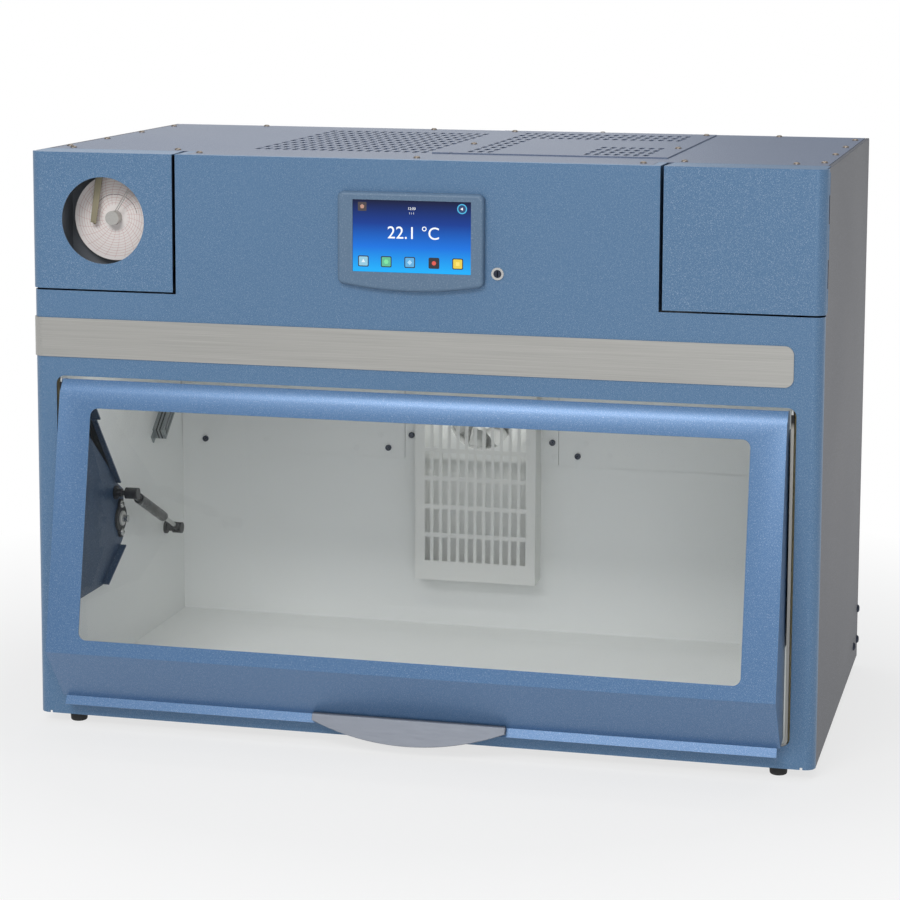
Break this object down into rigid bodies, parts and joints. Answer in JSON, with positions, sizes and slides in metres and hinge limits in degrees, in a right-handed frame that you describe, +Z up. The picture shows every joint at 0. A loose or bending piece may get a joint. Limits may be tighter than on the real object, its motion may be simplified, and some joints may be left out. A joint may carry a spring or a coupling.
{
  "type": "benchtop platelet incubator",
  "caption": "Benchtop incubator cabinet with a warm chamber behind a wide tilting window door, a round chart recorder, a display and a slotted lid.",
  "frame": {"origin": "on the surface it stands on, under the middle of the whole object", "axes": "+X to the right seen from the front, +Y to the back, +Z up; the door faces -Y"},
  "size_m": [0.92, 0.567, 0.6801],
  "materials": {
    "blue_paint": "fine metallic powder coat",
    "slate_paint": "powder coat",
    "white_liner": "white powder coat",
    "brushed_strip": "brushed along its length",
    "satin_handle": "satin anodised",
    "screw_steel": "bright",
    "dark_screws": "dark oxide",
    "rubber": "matt",
    "edging": "matt",
    "clear_window": "clear",
    "screen_glass": "lit display behind gloss glass",
    "black_plastic": "moulded",
    "galvanised": "plain",
    "fin_stock": "plain fins",
    "foam": "foam",
    "board": "solder mask",
    "paper": "printed paper",
    "pen_metal": "olive lacquer"
  },
  "bodies": {
    "cabinet": {"base_pan": "slate_paint", "front_panel": "blue_paint", "left_side_panel": "slate_paint", "right_side_panel": "slate_paint", "back_panel": "slate_paint", "lid": "slate_paint", "service_panel": "slate_paint", "lid_screws": "screw_steel", "case_screws": "dark_screws", "feet": "rubber", "accent_strip": "brushed_strip", "display_bezel": "blue_paint", "display_glass": "screen_glass", "lock_body": "screw_steel", "chamber_liner": "white_liner", "opening_trim": "edging", "insulation": "foam", "equipment_deck": "galvanised", "upper_left_panel": "white_liner", "upper_centre_panel": "white_liner", "upper_right_panel": "white_liner", "panel_screws": "screw_steel", "grille_box": "white_liner", "circulation_fan_frame": "black_plastic", "evaporator": "fin_stock", "heater": "galvanised", "compressor": "black_plastic", "condenser": "fin_stock", "condenser_fan_frame": "black_plastic", "power_supply": "galvanised", "control_board": "board", "backup_battery": "black_plastic", "power_inlet": "black_plastic", "recorder_case": "white_liner", "recorder_drive": "galvanised", "cover_hinges": "screw_steel", "pivot_pins": "screw_steel", "wall_stud": "screw_steel", "magnetic_catch": "screw_steel"},
    "lock": {"lock_plug": "screw_steel"},
    "circulation_fan": {"circulation_fan_rotor": "black_plastic"},
    "condenser_fan": {"condenser_fan_rotor": "black_plastic"},
    "rocker": {"switch_rocker": "black_plastic"},
    "chart": {"chart_paper": "paper", "chart_hub": "satin_handle"},
    "pen": {"pen_arm": "pen_metal"},
    "left_cover": {"chart_cover": "blue_paint"},
    "right_cover": {"access_cover": "blue_paint"},
    "door": {"door_panel": "blue_paint", "door_window": "clear_window", "window_seal": "rubber", "door_handle": "satin_handle", "left_wing": "blue_paint", "right_wing": "blue_paint", "door_bearings": "black_plastic", "bearing_bushes": "edging", "bearing_screws": "screw_steel", "wing_stud": "screw_steel"},
    "strut_rod": {"damper_rod": "screw_steel"},
    "strut_cylinder": {"damper_cylinder": "black_plastic"}
  },
  "joints": [
    {"name": "door_swing", "type": "hinge", "parent": "cabinet", "child": "door", "pos_m": [0, -0.05145, 0.213], "axis": [-1, 0, 0], "range_deg": [0, 90]},
    {"name": "damper_swing", "type": "hinge", "parent": "cabinet", "child": "strut_rod", "pos_m": [-0.407, 0.13005, 0.1629], "axis": [-0.0796, 0.3931, 0.916], "range_deg": [0, 1.07]},
    {"name": "damper_slide", "type": "slide", "parent": "strut_rod", "child": "strut_cylinder", "axis": [-0.0562, 0.9157, -0.3979], "range_m": [0, 0.05288]},
    {"name": "chart_cover_swing", "type": "hinge", "parent": "cabinet", "child": "left_cover", "pos_m": [-0.45725, -0.20405, 0.597], "axis": [0, 0, -1], "range_deg": [0, 100]},
    {"name": "access_cover_swing", "type": "hinge", "parent": "cabinet", "child": "right_cover", "pos_m": [0.45725, -0.20405, 0.597], "axis": [0, 0, 1], "range_deg": [0, 100]},
    {"name": "lock_turn", "type": "hinge", "parent": "cabinet", "child": "lock", "pos_m": [0.0956, -0.21695, 0.552], "axis": [0, -1, 0], "range_deg": [-90, 0]},
    {"name": "chart_turn", "type": "hinge", "parent": "cabinet", "child": "chart", "pos_m": [-0.369, -0.17695, 0.598], "axis": [0, 1, 0], "continuous": true},
    {"name": "pen_swing", "type": "hinge", "parent": "cabinet", "child": "pen", "pos_m": [-0.384, -0.18595, 0.653], "axis": [0, -1, 0], "range_deg": [-20, 8]},
    {"name": "circulation_fan_spin", "type": "hinge", "parent": "cabinet", "child": "circulation_fan", "pos_m": [-0.02, 0.21305, 0.314], "axis": [0, -1, 0], "continuous": true},
    {"name": "condenser_fan_spin", "type": "hinge", "parent": "cabinet", "child": "condenser_fan", "pos_m": [-0.12, 0.20305, 0.572], "axis": [0, 1, 0], "continuous": true},
    {"name": "switch_rock", "type": "hinge", "parent": "cabinet", "child": "rocker", "pos_m": [0.285, 0.27805, 0.572], "axis": [1, 0, 0], "range_deg": [-10, 10]}
  ],
  "couplings": [
    {"joint": "damper_swing", "follows": "door_swing", "ratio": 0.011859},
    {"joint": "damper_slide", "follows": "door_swing", "m_per_rad": 0.033666}
  ]
}
